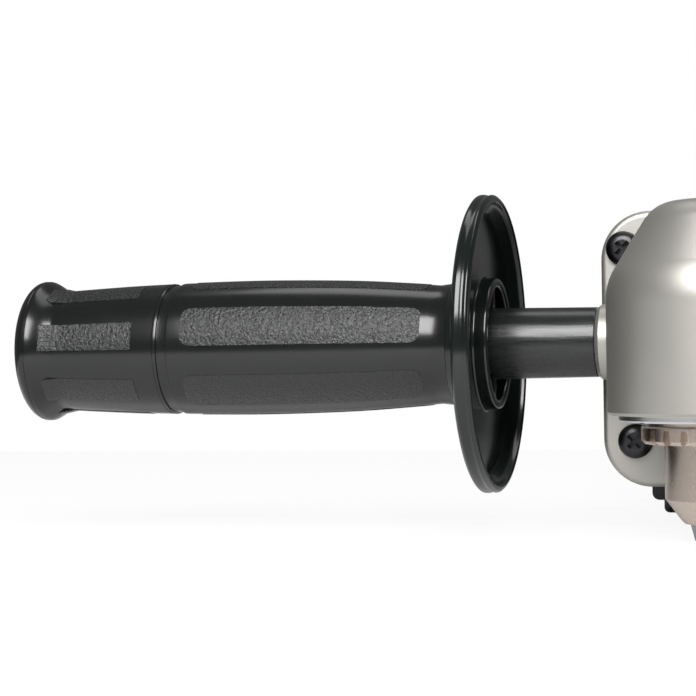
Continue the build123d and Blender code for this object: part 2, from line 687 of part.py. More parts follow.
def motor_housing():
    """Nylon barrel with a square front flange, vents, brush sockets and a lever hood."""
    front = slab(FLANGE_WIDTH, FLANGE_HEIGHT, FLANGE_CORNER_R, FLANGE_BACK, 44.0)
    taper = slab(FLANGE_WIDTH - 3, FLANGE_HEIGHT - 4, FLANGE_CORNER_R + 3, 44.0, 48.0)
    barrel = along_y(tube(BARREL_R, 0, BARREL_END - FLANGE_BACK), y=FLANGE_BACK)
    hood = hood_solid(HOOD_HALF, HOOD_BOTTOM, HOOD_FRONT, BARREL_END, 2.0)
    house = front + taper + barrel + hood
    room = block(-HOOD_INNER_HALF, HOOD_INNER_HALF, HOOD_FRONT + 2.4, BARREL_END + 1, -10, MOTOR_Z)
    room -= along_y(tube(BARREL_R, 0, 200), y=0)
    house -= room
    house -= along_y(tube(BARREL_BORE_R, 0, 103.0), y=FLANGE_BACK - 1)
    house -= along_y(tube(14.6, 0, 30.0), y=130.0)
    seat = along_y(tube(14.6, REAR_BEARING[1] + 2.3, 8.0), y=REAR_BEARING_Y - 0.8)
    seat += along_y(tube(14.6, 5.4, 2.0), y=REAR_BEARING_Y + 7.2)
    house += seat
    for side in SIDES:
        socket = Pos(0, BRUSH_Y, MOTOR_Z) * Rot(0, side * 90, 0) * tube(6.45, 0, 12, 24.0)
        house -= socket
        rim = Pos(0, BRUSH_Y, MOTOR_Z) * Rot(0, side * 90, 0) * tube(9.0, 6.45, 3.4, 30.0)
        house += rim
        for i in range(5):
            slot = block(28, 38, 57.0, 63.6, -1.5, 1.5)
            tilt = side * (-26 + 13 * i)
            turn = 0 if side > 0 else 180
            house -= Pos(0, 0, MOTOR_Z) * Rot(0, turn + tilt, 0) * slot
    for x, z in screw_places():
        house -= along_y(tube(SCREW_R, 0, 13.0), x, z, FLANGE_BACK - 1)
    pin_hole = along_x(tube(PIVOT_R, 0, 60), 30, LEVER_PIVOT_Y, LEVER_PIVOT_Z)
    return house - pin_hole


def rear_handle():
    """Whole rear handle before it is split: a hollow rounded box with a tapered front."""
    half = HOOD_HALF
    middle = HOOD_BOTTOM + HANDLE_HEIGHT / 2
    body = slab(2 * half, HANDLE_HEIGHT, 12.0, BARREL_END, HANDLE_END, middle)
    body = fillet(body.edges().group_by(Axis.Y)[-1], 9.0)
    collar = along_y(tube(BARREL_R, 0, 4.0), y=BARREL_END)
    collar += along_y(Pos(0, 0, 8.0) * Cone(BARREL_R, half, 8.0), y=BARREL_END)
    outer = body + collar
    inner = slab(2 * (half - WALL), HANDLE_HEIGHT - 2 * WALL, 9.4, BARREL_END + 4.0,
                 HANDLE_END - 3.4, middle)
    inner += along_y(tube(20.0, 0, 12.0), y=BARREL_END - 1)
    shell = outer - inner
    slot = block(-HOOD_INNER_HALF, HOOD_INNER_HALF, BARREL_END - 1, LEVER_END + 1.5, -20, 17.0)
    shell -= slot
    return shell


def handle_screw_places():
    """Centres of the clamshell screws as (y, z)."""
    return ((164.0, 66.0), (206.0, 66.0), (164.0, 17.0), (215.0, 20.0))


def handle_half(side):
    """One clamshell half of the rear handle with its screw bosses."""
    keep = block(min(0, side * 60), max(0, side * 60), 100, 300, -40, 120)
    half = rear_handle()
    for y, z in handle_screw_places():
        boss = along_x(tube(4.6, 0, 2 * (HOOD_HALF - 1)), HOOD_HALF - 1, y, z)
        half += boss
    ledge = block(5.5, HOOD_HALF - 1, 208.0, 214.0, INLET_Z - 10.0, INLET_Z - 4.2)
    half += ledge + mirror(ledge, Plane.YZ)
    for x in (-9.0, 9.0):
        half -= Pos(x, 211.0, INLET_Z - 8.0) * tube(1.5, 0, 10)
    half -= along_y(tube(7.6, 0, 30), z=INLET_Z, y=HANDLE_END - 12)
    half -= Pos(0, REVERSE_Y, HOOD_BOTTOM + HANDLE_HEIGHT) * Box(16.4, 6.4, 12)
    half -= along_x(tube(5.3, 0, 12), -HOOD_HALF + 5, LOCK_Y, LOCK_Z)
    for y, z in handle_screw_places():
        half -= along_x(tube(1.7, 0, 44), HOOD_HALF + 1, y, z)
        half -= along_x(tube(3.4, 0, 4.0), HOOD_HALF + 1, y, z)
    return half & keep


def handle_screws():
    """Four self-tapping screws that close the rear handle."""
    screws = []
    for y, z in handle_screw_places():
        screw = tube(3.2, 0, 2.2) + tube(1.65, 0, 34.0, 2.0)
        for turn in (0, 90):
            screw -= Rot(0, 0, turn) * block(-1.8, 1.8, -0.4, 0.4, -1, 1.2)
        screws.append(along_x(screw, HOOD_HALF - 0.8, y, z))
    return screws


def paddle_lever():
    """Paddle under the barrel: a trough with two pivot ears and a plunger post."""
    tray = block(-LEVER_HALF, LEVER_HALF, LEVER_FRONT, LEVER_END, LEVER_BOTTOM, 7.6)
    lower = tray.edges().filter_by(Axis.Y).group_by(Axis.Z)[0]
    tray = fillet(lower, 1.5)
    tray = fillet(tray.edges().filter_by(Axis.X).group_by(Axis.Z)[0], 2.4)
    hollow = block(-LEVER_HALF + 2.2, LEVER_HALF - 2.2, LEVER_FRONT + 2.2, LEVER_END - 2.2,
                   LEVER_BOTTOM + 2.4, 20)
    tray -= hollow
    trim = block(-40, 40, LEVER_PIVOT_Y + 6, LEVER_END + 1, 5.0, 20)
    tray -= trim
    for side in SIDES:
        ear = along_x(tube(5.0, 0, 2.2), side * (LEVER_HALF - 1.1) + 1.1, LEVER_PIVOT_Y,
                      LEVER_PIVOT_Z)
        tray += ear
    floor = LEVER_BOTTOM + 1.0
    tray += Pos(0, SWITCH_Y, 0) * tube(5.0, 0, PLUNGER_BOTTOM - 0.1 - floor, floor)
    return tray - along_x(tube(PIVOT_R + RUN, 0, 60), 30, LEVER_PIVOT_Y, LEVER_PIVOT_Z)


def lever_pin():
    """Steel pivot pin through the hood and the lever ears."""
    return along_x(tube(PIVOT_R, 0, 2 * (HOOD_HALF - 0.6)), HOOD_HALF - 0.6, LEVER_PIVOT_Y,
                   LEVER_PIVOT_Z)


def lever_spring():
    """Wire torsion spring round the pin, drawn as closed rings."""
    turn = Rot(0, 90, 0) * Torus(3.0, 0.45)
    return [Pos(-3.0 + 1.1 * i, LEVER_PIVOT_Y, LEVER_PIVOT_Z) * turn for i in range(6)]


def switch_body():
    """Switch case with the plunger's bore."""
    width, length, height = SWITCH_SIZE
    case = block(-width / 2, width / 2, SWITCH_Y - length / 2, SWITCH_Y + length / 2,
                 SWITCH_BOTTOM, SWITCH_BOTTOM + height)
    case = fillet(case.edges().filter_by(Axis.Z), 1.5)
    neck = Pos(0, SWITCH_Y, 0) * tube(6.0, 0, 4.0, SWITCH_BOTTOM - 4.0)
    bore = Pos(0, SWITCH_Y, 0) * tube(PLUNGER_R + RUN, 0, 22.0, SWITCH_BOTTOM - 6.0)
    return case + neck - bore


def switch_plunger():
    """Plunger that the lever's post pushes up into the switch."""
    rod = tube(PLUNGER_R, 0, 22.0, PLUNGER_BOTTOM)
    cap = tube(4.4, 0, 2.0, PLUNGER_BOTTOM)
    return Pos(0, SWITCH_Y, 0) * (rod + cap)


def lock_button():
    """Round button in the left side of the rear handle."""
    button = tube(5.2, 0, 7.0) + tube(6.4, 0, 1.3)
    button = fillet(button.edges().group_by(Axis.Z)[-1], 1.0)
    return along_x(button, -HOOD_HALF + WALL + 1.5, LOCK_Y, LOCK_Z)


def reversing_slide():
    """Direction slide on top of the rear handle: a ribbed knob on a stem and a plate."""
    top = HOOD_BOTTOM + HANDLE_HEIGHT
    knob = block(-4.0, 4.0, REVERSE_Y - 6, REVERSE_Y + 6, top + 0.2, top + 4.6)
    knob = fillet(knob.edges().group_by(Axis.Z)[-1], 1.2)
    stem = block(-3.6, 3.6, REVERSE_Y - 3, REVERSE_Y + 3, top - 4.6, top + 1.0)
    plate = block(-10.0, 10.0, REVERSE_Y - 6, REVERSE_Y + 6, top - 4.6, top - 3.1)
    return knob + stem + plate


def cord_inlet():
    """Rubber gland in the rear wall, held by a groove, with the cord's bore."""
    gland = lathe(
        Line((INLET_BORE_R, 0), (9.6, 0)),
        Line((9.6, 0), (9.6, 2.6)),
        Line((9.6, 2.6), (7.5, 2.6)),
        Line((7.5, 2.6), (7.5, 6.2)),
        Line((7.5, 6.2), (8.8, 6.2)),
        ThreePointArc((8.8, 6.2), (8.2, 10.4), (6.6, 13.4)),
        Line((6.6, 13.4), (INLET_BORE_R, 13.4)),
        Line((INLET_BORE_R, 13.4), (INLET_BORE_R, 0)),
    )
    return along_y(gland, z=INLET_Z, y=HANDLE_END - 6.1)


def cord_clamp():
    """Fibre bar that grips the cord inside the rear handle."""
    bar = block(-12, 12, 209.0, 213.0, INLET_Z + 4.0, INLET_Z + 9.0)
    bar -= along_y(tube(4.6, 0, 20), z=INLET_Z, y=200)
    for side in SIDES:
        bar -= Pos(side * 9.0, 211.0, INLET_Z) * tube(1.5, 0, 20)
    return bar


def clamp_screws():
    """Two screws through the cord clamp."""
    screws = []
    for side in SIDES:
        screw = tube(2.9, 0, 2.0, 9.0) + tube(1.5, 0, 17.0, -8.0)
        screws.append(Pos(side * 9.0, 211.0, INLET_Z) * screw)
    return screws


# ---------------------------------------------------------------- side handle

def grip_outline():
    """Grip profile from the guard's back face to the rounded end, as (radius, distance)."""
    start = (16.0, FLARE_START)
    swell = Spline(start, (16.8, 52.0), (17.8, 68.0), (18.4, 92.0), (18.2, GROOVE - 1.2),
                   tangents=((0.1, 1), (-0.02, 1)))
    groove_in = (17.5, GROOVE)
    after = (18.2, GROOVE + 1.2)
    neck = (16.8, NECK)
    taper = Spline(after, (17.7, GROOVE + 15.0), neck, tangents=((-0.01, 1), (-0.06, 1)))
    crown = (19.7, BULB)
    shoulder = (17.6, BULB + 3.0)
    end = (11.0, GRIP_END - 0.1)
    return [
        swell,
        Line(swell @ 1, groove_in),
        Line(groove_in, after),
        taper,
        ThreePointArc(neck, (18.7, NECK + 2.0), crown),
        ThreePointArc(crown, (19.1, BULB + 1.8), shoulder),
        ThreePointArc(shoulder, (15.0, BULB + 3.7), end),
        Line(end, (0, GRIP_END)),
    ]


def grip_moulding():
    """Side handle moulding: pole, hub ring with a hollow, dished guard and swelling grip."""
    rim = 1.5
    edge = GUARD_R - rim
    flare = ThreePointArc((24.0, GUARD_BACK + 0.1), (18.2, GUARD_BACK + 2.4), (16.0, FLARE_START))
    outline = [
        Polyline((0, 0), (POLE_TIP_R, 0), (POLE_BASE_R, CAVITY_FLOOR), (HUB_CAVITY_R, CAVITY_FLOOR),
                 (HUB_CAVITY_R, HUB_FACE), (HUB_R, HUB_FACE), (HUB_R, WEB_FACE), (35.4, WEB_FACE),
                 (edge - rim, HUB_FACE + rim)),
        ThreePointArc((edge - rim, HUB_FACE + rim), (edge, HUB_FACE), (GUARD_R, HUB_FACE + rim)),
        Line((GUARD_R, HUB_FACE + rim), (GUARD_R, RIM_BACK - 1.6)),
        ThreePointArc((GUARD_R, RIM_BACK - 1.6), (39.5, RIM_BACK - 0.5), (38.4, RIM_BACK)),
        Line((38.4, RIM_BACK), (24.0, GUARD_BACK + 0.1)),
        flare,
    ]
    outline += grip_outline()
    outline.append(Line((0, GRIP_END), (0, 0)))
    handle = lathe(*outline)
    handle -= tube(STUD_R, 0, 46.0, -1)
    return along_x(handle, -BOSS_FACE_X, HANDLE_Y, HANDLE_Z)


def handle_stud():
    """Threaded steel stud moulded into the grip and screwed into the boss."""
    stud = tube(STUD_R, 0, STUD_THREAD_LENGTH + 44.0, -STUD_THREAD_LENGTH + 0.6)
    stud = chamfer(stud.edges().group_by(Axis.Z)[0], 0.8)
    return along_x(stud, -BOSS_FACE_X, HANDLE_Y, HANDLE_Z)


# ---------------------------------------------------------------- files

def bearings():
    """Nodes of the four ball bearings, outer rings with their balls apart from inner rings."""
    places = {
        "spindle_bearing": (SPINDLE_BEARING, lambda p: Pos(0, 0, BEARING_Z) * p),
        "layshaft_bearing": (LAYSHAFT_BEARING,
                             lambda p: along_y(p, z=LAYSHAFT_Z, y=LAYSHAFT_BEARING_Y)),
        "front_bearing": (FRONT_BEARING, lambda p: along_y(p, y=FRONT_BEARING_Y)),
        "rear_bearing": (REAR_BEARING, lambda p: along_y(p, y=REAR_BEARING_Y)),
    }
    nodes = {}
    for name, (size, place) in places.items():
        outside, inside, balls = bearing_rings(*size)
        nodes[name + "_outer"] = [place(outside)]
        nodes[name + "_inner"] = [place(inside)]
        nodes[name + "_balls"] = [place(ball) for ball in balls]
    return nodes


def all_nodes():
    """Every node's name with its solids."""
    nodes = {
        "gear_housing": gear_housing(),
        "flange_screws": flange_screws(),
        "bearing_box": bearing_box(),
        "bearing_box_screws": box_screws(),
        "snap_ring": snap_ring(),
        "top_bush": top_bush(),
        "spindle": spindle(),
        "bevel_gear": bevel_wheel(),
        "pinion_shaft": pinion_shaft(),
        "spur_gear": spur_wheel(),
        "layshaft_bush": layshaft_bush(),
        "bearing_plate": bearing_plate(),
        "armature_shaft": armature_shaft(),
        "armature_core": armature_core(),
        "armature_windings": armature_windings(),
        "commutator": commutator(),
        "cooling_fan": cooling_fan(),
        "rear_bearing_sleeve": rear_bearing_sleeve(),
        "stator_core": stator_core(),
        "field_coils": field_coils(),
        "fan_baffle": fan_baffle(),
        "brush_holders": brush_holders(),
        "carbon_brushes": carbon_brushes(),
        "brush_springs": brush_springs(),
        "brush_caps": brush_caps(),
        "motor_housing": motor_housing(),
        "handle_half_left": handle_half(-1),
        "handle_half_right": handle_half(1),
        "handle_screws": handle_screws(),
        "paddle_lever": paddle_lever(),
        "lever_pin": lever_pin(),
        "lever_spring": lever_spring(),
        "switch_body": switch_body(),
        "switch_plunger": switch_plunger(),
        "lock_button": lock_button(),
        "reversing_slide": reversing_slide(),
        "cord_inlet": cord_inlet(),
        "cord_clamp": cord_clamp(),
        "clamp_screws": clamp_screws(),
        "chuck_body": chuck_body(),
        "chuck_sleeve": chuck_sleeve(),
        "chuck_nut": chuck_nut(),
        "chuck_screw": chuck_screw(),
        "grip_moulding": grip_moulding(),
        "handle_stud": handle_stud(),
    }
    for number, angle in enumerate(JAW_ANGLES, 1):
        nodes[f"chuck_jaw_{number}"] = chuck_jaw(angle)
    nodes.update(bearings())
    return nodes


os.makedirs("parts", exist_ok=True)
for name, shape in all_nodes().items():
    solids = shape if isinstance(shape, list) else [shape]
    pieces = [solid for item in solids for solid in item.solids()]
    whole = pieces[0] if len(pieces) == 1 else Compound(children=pieces)
    export_step(whole, f"parts/{name}.step")
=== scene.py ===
import json
from math import pi, radians, sin

import bpy
from bpy.props import FloatProperty, FloatVectorProperty, IntProperty, PointerProperty
from mathutils import Matrix, Vector


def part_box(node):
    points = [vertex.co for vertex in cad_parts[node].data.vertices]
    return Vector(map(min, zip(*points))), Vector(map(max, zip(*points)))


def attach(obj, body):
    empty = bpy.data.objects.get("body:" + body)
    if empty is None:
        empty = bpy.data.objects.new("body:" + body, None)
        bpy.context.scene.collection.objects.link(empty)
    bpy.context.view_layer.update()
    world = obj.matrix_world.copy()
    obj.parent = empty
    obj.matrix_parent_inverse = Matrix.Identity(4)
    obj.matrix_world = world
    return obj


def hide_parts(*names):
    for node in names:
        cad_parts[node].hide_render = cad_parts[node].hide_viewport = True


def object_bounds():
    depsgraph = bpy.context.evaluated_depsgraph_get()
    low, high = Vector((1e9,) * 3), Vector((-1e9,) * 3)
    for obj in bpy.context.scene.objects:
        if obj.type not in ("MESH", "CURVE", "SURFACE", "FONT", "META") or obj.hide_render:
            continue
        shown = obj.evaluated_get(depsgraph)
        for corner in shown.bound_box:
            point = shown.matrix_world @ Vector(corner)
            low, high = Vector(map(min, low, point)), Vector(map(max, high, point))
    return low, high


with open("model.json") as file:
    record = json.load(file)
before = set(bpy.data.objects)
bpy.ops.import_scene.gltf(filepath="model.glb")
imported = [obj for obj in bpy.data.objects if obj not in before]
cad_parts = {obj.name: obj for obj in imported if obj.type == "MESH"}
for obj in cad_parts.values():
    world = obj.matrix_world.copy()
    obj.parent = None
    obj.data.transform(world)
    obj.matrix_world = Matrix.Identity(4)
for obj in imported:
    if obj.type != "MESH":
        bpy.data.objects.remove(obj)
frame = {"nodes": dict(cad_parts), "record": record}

bl_info = {
    "name": "Right-angle drill",
    "version": (1, 0, 0),
    "blender": (4, 5, 0),
    "location": "View3D > Sidebar > Drill",
    "description": "Builds the looks of a right-angle drill around its fixed frame",
    "category": "Object",
}

MM = 0.001
CAD_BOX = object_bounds()
HANDLE_LOW, HANDLE_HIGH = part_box("grip_moulding")
BOSS_X = HANDLE_HIGH.x
HANDLE_Y = (HANDLE_LOW.y + HANDLE_HIGH.y) / 2
HANDLE_Z = (HANDLE_LOW.z + HANDLE_HIGH.z) / 2
HANDLE_AXIS = Vector((BOSS_X, HANDLE_Y, HANDLE_Z))
GUARD_RADIUS = (HANDLE_HIGH.z - HANDLE_LOW.z) / 2
HANDLE_LENGTH = HANDLE_HIGH.x - HANDLE_LOW.x


# ---------------------------------------------------------------- properties

class DrillSizes(bpy.types.PropertyGroup):
    """Sizes that a user would change."""
    hub_radius: FloatProperty(
        name="Hub radius", description="Outer radius of the ring in the middle of the guard",
        default=17.6 * MM, unit="LENGTH")
    front_count: IntProperty(
        name="Front panels", description="Grained panels round the long front section",
        default=6, min=3, max=12)
    front_angle: FloatProperty(
        name="Front panel width", description="Angle that one front panel covers",
        default=radians(44.0), subtype="ANGLE")
    rear_count: IntProperty(
        name="Rear panels", description="Grained panels round the short rear section",
        default=7, min=3, max=12)
    rear_angle: FloatProperty(
        name="Rear panel width", description="Angle that one rear panel covers",
        default=radians(31.0), subtype="ANGLE")
    patch_proud: FloatProperty(
        name="Panel height", description="How far a grained panel stands out of the grip",
        default=0.12 * MM, unit="LENGTH")
    key_light: FloatProperty(
        name="Key light", description="Power of the large softbox above and in front",
        default=19.0, unit="POWER")


def linear(code):
    """Linear RGBA from an sRGB hex code such as '#a89c92'."""
    channels = [int(code[i:i + 2], 16) / 255 for i in (1, 3, 5)]
    toe = 0.04045
    straight = [c / 12.92 if c <= toe else ((c + 0.055) / 1.055) ** 2.4 for c in channels]
    return (*straight, 1.0)


def colour(name, words, code):
    """Colour property with a default given as an sRGB hex code."""
    return FloatVectorProperty(
        name=name, description=words, subtype="COLOR", size=4, default=linear(code))


class DrillColours(bpy.types.PropertyGroup):
    """Colours of the main finishes."""
    nylon: colour("Grip nylon", "Black glass-filled nylon of the side handle", "#0d0e0e")
    guard: colour("Guard nylon", "Polished black of the hand guard, faintly green", "#0c1110")
    casting: colour("Casting", "Silver die-cast aluminium of the gear head", "#a3a19b")
    chuck: colour("Chuck steel", "Satin ground steel of the chuck, slightly warm", "#b3a79d")
    oxide: colour("Black oxide", "Blackened steel of the screws", "#3a3a3c")
    housing: colour("Housing nylon", "Charcoal nylon of the motor housing", "#1b1d1e")


# ---------------------------------------------------------------- materials

def add_node(tree, kind, inputs=None, **settings):
    """Adds a shader node. An input given by name or number is linked or set to a value."""
    node = tree.nodes.new(kind)
    for key, value in settings.items():
        if key in node.inputs:
            node.inputs[key].default_value = value
        elif hasattr(node, key):
            setattr(node, key, value)
        else:
            node.inputs[key.replace("_", " ")].default_value = value
    for key, source in (inputs or {}).items():
        if isinstance(source, bpy.types.NodeSocket):
            tree.links.new(source, node.inputs[key])
        else:
            node.inputs[key].default_value = source
    return node


def start_material(name, base, metallic, roughness):
    """New material with its shader, and object coordinates in metres."""
    material = bpy.data.materials.new(name)
    material.use_nodes = True
    tree = material.node_tree
    shader = tree.nodes["Principled BSDF"]
    shader.inputs["Base Color"].default_value = base
    shader.inputs["Metallic"].default_value = metallic
    shader.inputs["Roughness"].default_value = roughness
    place = add_node(tree, "ShaderNodeTexCoord")
    return material, tree, shader, place.outputs["Object"]


def noise(tree, place, size, detail):
    """Cloudy pattern with features of about the given size in metres."""
    node = add_node(tree, "ShaderNodeTexNoise", {"Vector": place}, Scale=1 / size, Detail=detail)
    return node.outputs["Fac"]


def stretched(tree, place, scale):
    """Object coordinates scaled along each axis, to stretch a pattern."""
    mapping = add_node(tree, "ShaderNodeMapping", {"Vector": place}, Scale=scale)
    return mapping.outputs["Vector"]


def vary_roughness(tree, shader, source, low, high):
    """Roughness that wanders between two values with a pattern."""
    span = add_node(tree, "ShaderNodeMapRange", {"Value": source}, To_Min=low, To_Max=high)
    tree.links.new(span.outputs["Result"], shader.inputs["Roughness"])


def vary_colour(tree, shader, source, dark, light, base):
    """Base colour that wanders between a darker and a lighter shade of itself."""
    ramp = add_node(tree, "ShaderNodeValToRGB", {"Fac": source})
    for element, share in zip(ramp.color_ramp.elements, (dark, light)):
        element.color = [min(1, c * share) for c in base[:3]] + [1]
    tree.links.new(ramp.outputs["Color"], shader.inputs["Base Color"])


def raise_bump(tree, shader, source, depth):
    """Bump from a height pattern, its depth in metres."""
    bump = add_node(tree, "ShaderNodeBump", {"Height": source}, Distance=depth, Strength=1.0)
    tree.links.new(bump.outputs["Normal"], shader.inputs["Normal"])


def moulded_plastic(name, base, roughness, grain, depth):
    """Moulded nylon, rubber or pressed powder: fine grain, a gloss and a tone that wander."""
    material, tree, shader, place = start_material(name, base, 0.0, roughness)
    fine = noise(tree, place, grain, 3.0)
    wide = noise(tree, place, 9 * MM, 4.0)
    vary_roughness(tree, shader, wide, roughness * 0.82, roughness * 1.18)
    vary_colour(tree, shader, wide, 0.85, 1.2, base)
    raise_bump(tree, shader, fine, depth)
    return material


def grained_nylon(base):
    """Leather-grained nylon: pebbles about 1.1 mm across with sharp creases, etched in the mould."""
    pebble = 1.1 * MM
    material, tree, shader, place = start_material("grained nylon", base, 0.0, 0.34)
    wander = add_node(
        tree, "ShaderNodeTexNoise", {"Vector": place}, Scale=1 / (1.6 * MM), Detail=2.0)
    push = add_node(
        tree, "ShaderNodeVectorMath", {0: wander.outputs["Color"]}, operation="SCALE", Scale=0.9 * MM)
    moved = add_node(tree, "ShaderNodeVectorMath", {0: place, 1: push.outputs["Vector"]})
    cells = add_node(
        tree, "ShaderNodeTexVoronoi", {"Vector": moved.outputs["Vector"]},
        Scale=1 / pebble, feature="SMOOTH_F1", Smoothness=0.35)
    small = noise(tree, place, 0.45 * MM, 2.0)
    pebbles = add_node(
        tree, "ShaderNodeMath", {0: cells.outputs["Distance"], 1: 0.5}, operation="MULTIPLY")
    height = add_node(
        tree, "ShaderNodeMath", {0: pebbles.outputs["Value"], 1: small}, operation="ADD")
    vary_roughness(tree, shader, cells.outputs["Distance"], 0.18, 0.34)
    vary_colour(tree, shader, small, 0.8, 1.5, base)
    raise_bump(tree, shader, height.outputs["Value"], 0.32 * MM)
    return material


def scuffed_nylon(base):
    """Nylon rubbed lengthwise by hands and clamps: long fine streaks that catch the light."""
    material, tree, shader, place = start_material("scuffed nylon", base, 0.0, 0.32)
    streaks = noise(tree, stretched(tree, place, (0.05, 1.0, 1.0)), 0.5 * MM, 4.0)
    long_marks = noise(tree, stretched(tree, place, (0.12, 1.0, 1.0)), 1.4 * MM, 3.0)
    vary_roughness(tree, shader, streaks, 0.14, 0.4)
    vary_colour(tree, shader, long_marks, 0.7, 2.2, base)
    raise_bump(tree, shader, streaks, 0.02 * MM)
    return material


def die_cast_aluminium(base):
    """Bead-blasted die casting: even silver with a fine sparkle, grain drawn at 0.35 mm to show."""
    material, tree, shader, place = start_material("die-cast aluminium", base, 0.82, 0.42)
    fine = noise(tree, place, 0.35 * MM, 2.0)
    wide = noise(tree, place, 14 * MM, 3.0)
    vary_roughness(tree, shader, fine, 0.36, 0.5)
    vary_colour(tree, shader, wide, 0.93, 1.04, base)
    raise_bump(tree, shader, fine, 0.02 * MM)
    return material


def turned_metal(name, base, roughness, feed):
    """Metal turned or ground on a lathe: rings up the chuck's axis, 0.63 of the given feed apart."""
    material, tree, shader, place = start_material(name, base, 1.0, roughness)
    rings = add_node(
        tree, "ShaderNodeTexWave", {"Vector": place}, wave_type="BANDS", bands_direction="Z",
        Scale=0.5 / feed, Distortion=1.2, Detail=2.0, Detail_Scale=1.5)
    smear = noise(tree, place, 12 * MM, 2.0)
    vary_roughness(tree, shader, smear, roughness * 0.9, roughness * 1.12)
    vary_colour(tree, shader, smear, 0.97, 1.02, base)
    raise_bump(tree, shader, rings.outputs["Fac"], 0.004 * MM)
    return material


def plain_metal(name, base, roughness, grain, depth=0.006 * MM):
    """Rolled, pressed or sintered metal: fine grain and a tone that wanders with handling."""
    material, tree, shader, place = start_material(name, base, 1.0, roughness)
    fine = noise(tree, place, grain, 3.0)
    wide = noise(tree, place, 5 * MM, 3.0)
    vary_roughness(tree, shader, fine, roughness * 0.75, roughness * 1.3)
    vary_colour(tree, shader, wide, 0.8, 1.15, base)
    raise_bump(tree, shader, fine, depth)
    return material


def banded_metal(name, base, pitch, axis_scale):
    """Stacked sheet or wound wire: even lines, drawn a quarter coarser than the pitch to show."""
    material, tree, shader, place = start_material(name, base, 1.0, 0.4)
    lines = add_node(
        tree, "ShaderNodeTexWave", {"Vector": stretched(tree, place, axis_scale)},
        wave_type="BANDS", bands_direction="DIAGONAL", Scale=0.5 / pitch, Distortion=0.6)
    vary_colour(tree, shader, lines.outputs["Fac"], 0.55, 1.15, base)
    raise_bump(tree, shader, lines.outputs["Fac"], 0.08 * MM)
    return material


# Filled by the finishes step and read by the steps after it.
FINISHES = {}


def all_finishes(colours):
    """Every finish by the record's material slot name, and the side handle's other three."""
    nylon = tuple(colours.nylon)
    oxide = tuple(colours.oxide)
    return {
        # Glass-filled nylon from a polished tool: black with a satin gloss.
        "grip_nylon": moulded_plastic("satin nylon", nylon, 0.2, 0.7 * MM, 0.002 * MM),
        "grain": grained_nylon(linear("#141515")),
        "scuffed": scuffed_nylon(linear("#101111")),
        # The guard's tool was polished further: a near mirror gloss, faintly green.
        "guard": moulded_plastic("polished nylon", tuple(colours.guard), 0.16, 1.5 * MM, 0.004 * MM),
        "cast_aluminium": die_cast_aluminium(tuple(colours.casting)),
        "machined_aluminium": turned_metal("machined aluminium", linear("#c4c5c6"), 0.3, 0.3 * MM),
        # Black oxide over steel: dark and slightly shiny.
        "black_oxide_steel": plain_metal("black oxide steel", oxide, 0.34, 0.3 * MM),
        "chuck_steel": turned_metal("ground chuck steel", tuple(colours.chuck), 0.27, 0.25 * MM),
        "bearing_steel": turned_metal("bearing steel", linear("#c2c3c6"), 0.18, 0.2 * MM),
        "gear_steel": plain_metal("hardened steel", linear("#8d9095"), 0.3, 0.3 * MM),
        "lamination_steel": banded_metal("stacked laminations", linear("#6d7076"), 0.5 * MM, (0, 1, 0)),
        "copper": banded_metal("enamelled copper", linear("#b5653a"), 0.6 * MM, (0.3, 1, 0.3)),
        "brass": plain_metal("pressed brass", linear("#c9a257"), 0.25, 0.4 * MM),
        "bronze": plain_metal("sintered bronze", linear("#9a7440"), 0.5, 0.25 * MM, 0.03 * MM),
        "carbon": moulded_plastic("pressed carbon", linear("#1c1c1d"), 0.55, 0.2 * MM, 0.02 * MM),
        "housing_nylon": moulded_plastic(
            "grained housing nylon", tuple(colours.housing), 0.46, 0.55 * MM, 0.05 * MM),
        "lever_nylon": moulded_plastic("lever nylon", linear("#101214"), 0.32, 0.6 * MM, 0.015 * MM),
        "fibre": moulded_plastic("pressed fibre", linear("#6a4a30"), 0.7, 0.3 * MM, 0.05 * MM),
        "rubber": moulded_plastic("moulded rubber", linear("#161616"), 0.6, 0.4 * MM, 0.02 * MM),
    }


# ---------------------------------------------------------------- modelling helpers

def deselect():
    """Leaves edit mode and empties the selection."""
    if bpy.context.object and bpy.context.object.mode != "OBJECT":
        bpy.ops.object.mode_set(mode="OBJECT")
    bpy.ops.object.select_all(action="DESELECT")


def begin(name):
    """Names the primitive just added and opens it in edit mode."""
    piece = bpy.context.object
    piece.name = name
    piece.data.name = name
    bpy.ops.object.mode_set(mode="EDIT")
    return piece


def select_whole():
    """Selects all of the mesh that is open in edit mode."""
    bpy.ops.mesh.select_all(action="SELECT")


def cut(place, normal):
    """Adds an edge loop where a plane crosses the open mesh."""
    select_whole()
    bpy.ops.mesh.bisect(plane_co=place, plane_no=normal)


def face_outwards():
    """Turns every face of the open mesh outwards."""
    select_whole()
    bpy.ops.mesh.normals_make_consistent(inside=False)


def finish_piece(piece, material, body, nodes=(), smooth=30.0):
    """Applies the place, shades, gives the finish and hands the piece to its body."""
    deselect()
    piece.select_set(True)
    bpy.context.view_layer.objects.active = piece
    bpy.ops.object.transform_apply(location=True, rotation=True, scale=True)
    bpy.ops.object.shade_smooth_by_angle(angle=radians(smooth))
    piece.data.materials.clear()
    piece.data.materials.append(material)
    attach(piece, body)
    if nodes:
        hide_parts(*nodes)


